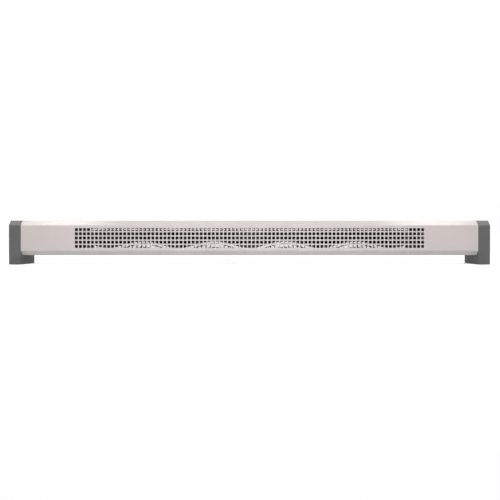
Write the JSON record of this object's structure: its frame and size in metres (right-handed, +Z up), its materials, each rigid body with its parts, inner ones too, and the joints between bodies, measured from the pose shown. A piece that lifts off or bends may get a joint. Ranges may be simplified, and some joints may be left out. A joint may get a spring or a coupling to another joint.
{
  "type": "electric convector heater",
  "caption": "Long low electric convector heater: folded steel body with a punched front grille over a finned element, closed by moulded end caps that stand on the floor.",
  "frame": {"origin": "on the floor, at the middle of the length and depth", "axes": "+X along the heater to the right as seen from the front, +Y back towards the wall, +Z up"},
  "size_m": [1.076, 0.0874, 0.0991],
  "materials": {
    "cover_paint": "satin powder coat, light pinkish grey",
    "chassis_paint": "matt dark powder coat",
    "cap_plastic": "fine moulded grain, dark grey",
    "rubber": "matt",
    "zinc_steel": "zinc plated",
    "reflector_aluminium": "bright rolled",
    "blackened_steel": "heat blackened",
    "brass": "turned",
    "ceramic": "unglazed",
    "black_plastic": "moulded",
    "red_plastic": "moulded",
    "copper_tube": "drawn copper",
    "brown_insulation": "extruded",
    "blue_insulation": "extruded",
    "green_insulation": "extruded"
  },
  "bodies": {
    "heater": {"front_cover": "cover_paint", "rear_panel": "chassis_paint", "left_end_plate": "chassis_paint", "right_end_plate": "chassis_paint", "left_bulkhead": "chassis_paint", "right_bulkhead": "chassis_paint", "left_end_cap": "cap_plastic", "right_end_cap": "cap_plastic", "left_foot_pads": "rubber", "right_foot_pads": "rubber", "left_cap_screws": "zinc_steel", "right_cap_screws": "zinc_steel", "cover_screws": "zinc_steel", "frame_rivets": "zinc_steel", "reflector": "reflector_aluminium", "reflector_spacers": "zinc_steel", "reflector_rivets": "zinc_steel", "element_tube": "blackened_steel", "element_fins": "blackened_steel", "element_bushes": "brass", "element_nuts": "brass", "element_seals": "ceramic", "element_pins": "zinc_steel", "element_guide": "ceramic", "terminal_block": "ceramic", "terminal_inserts": "brass", "terminal_screws": "zinc_steel", "terminal_block_screws": "zinc_steel", "limiter_body": "black_plastic", "limiter_tabs": "brass", "limiter_nut": "zinc_steel", "capillary_tube": "copper_tube", "capillary_clips": "zinc_steel", "gland_plate": "chassis_paint", "gland_plate_screws": "zinc_steel", "cable_grommet": "rubber", "cord_clamp": "black_plastic", "cord_clamp_screws": "zinc_steel", "earth_stud": "brass", "earth_nuts": "brass", "wire_live_in": "brown_insulation", "wire_live_out": "brown_insulation", "wire_neutral": "blue_insulation", "wire_earth": "green_insulation"},
    "reset_button": {"reset_button": "red_plastic"}
  },
  "joints": [
    {"name": "reset_button_press", "type": "slide", "parent": "heater", "child": "reset_button", "axis": [0, -1, 0], "range_m": [0, 0.0015], "stiffness_N_per_m": 300}
  ]
}
